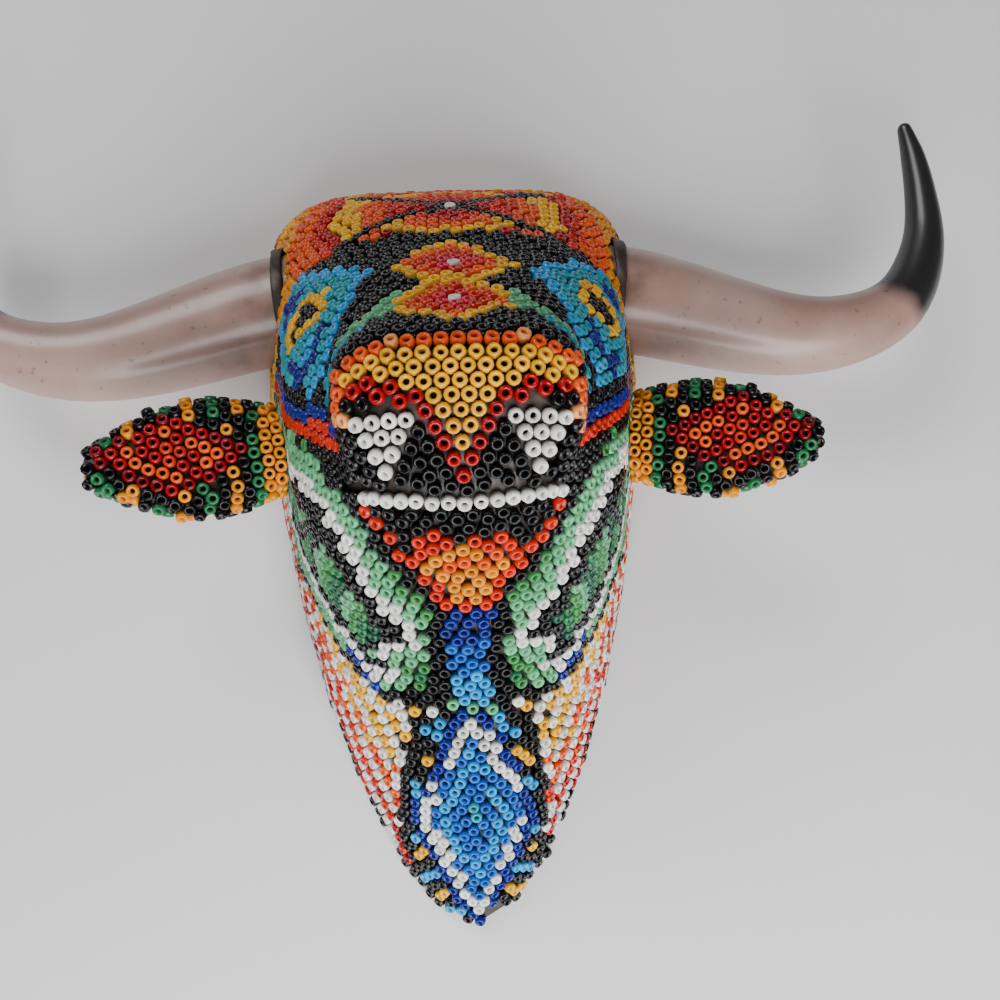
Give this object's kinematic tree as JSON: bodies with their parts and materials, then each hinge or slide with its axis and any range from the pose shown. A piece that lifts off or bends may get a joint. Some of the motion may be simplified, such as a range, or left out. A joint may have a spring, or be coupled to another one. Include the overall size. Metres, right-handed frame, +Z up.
{
  "type": "beaded bull head wall figure",
  "caption": "Small carved bull's head wall figure covered in glass seed beads pressed into wax, with two horns, two ears and a ring hanger in its flat back.",
  "frame": {"origin": "on the flat back face, on the midline, half way up the head", "axes": "+Z up, +Y out of the flat back into the wall, so the nose points to -Y; +X across, from horn tip to horn tip"},
  "size_m": [0.1948, 0.0728, 0.1512],
  "materials": {
    "wood": "carved softwood, unvarnished",
    "beeswax": "dark beeswax and resin, hand spread",
    "horn": "carved wood, painted pinkish grey and lacquered, black tip",
    "steel": "zinc plated",
    "brass_screw": "plain",
    "beads_fire": "opaque glass seed beads, orange, yellow and red",
    "beads_black": "opaque glass seed beads, mostly black",
    "beads_blue": "opaque glass seed beads, blues",
    "beads_green": "opaque glass seed beads, greens",
    "beads_cobalt": "opaque glass seed beads, dark blue",
    "beads_stripe": "opaque glass seed beads, white, yellow and orange",
    "beads_red": "opaque glass seed beads, red and orange"
  },
  "bodies": {
    "head": {"head_core": "wood", "wax_coat": "beeswax", "poll_beads": "beads_fire", "forehead_beads": "beads_fire", "nose_band_beads": "beads_black", "chin_beads": "beads_fire", "muzzle_beads": "beads_black", "throat_beads": "beads_cobalt", "bib_beads": "beads_blue", "horn_band_beads_left": "beads_fire", "neck_stripe_beads_left": "beads_stripe", "eye_patch_beads_left": "beads_blue", "cheek_beads_left": "beads_green", "horn_left": "horn", "horn_dowel_left": "wood", "horn_wax_collar_left": "beeswax", "ear_left": "wood", "ear_dowel_left": "wood", "ear_wax_left": "beeswax", "ear_front_beads_left": "beads_red", "ear_back_beads_left": "beads_black", "horn_band_beads_right": "beads_fire", "neck_stripe_beads_right": "beads_stripe", "eye_patch_beads_right": "beads_blue", "cheek_beads_right": "beads_green", "horn_right": "horn", "horn_dowel_right": "wood", "horn_wax_collar_right": "beeswax", "ear_right": "wood", "ear_dowel_right": "wood", "ear_wax_right": "beeswax", "ear_front_beads_right": "beads_red", "ear_back_beads_right": "beads_black", "hanger_strap": "steel", "hanger_screw": "brass_screw"},
    "hanger_ring": {"hanger_ring": "steel"}
  },
  "joints": [
    {"name": "ring_swing", "type": "hinge", "parent": "head", "child": "hanger_ring", "pos_m": [0, -0.00189, 0.0245], "axis": [1, 0, 0], "range_deg": [-150, 0]}
  ]
}
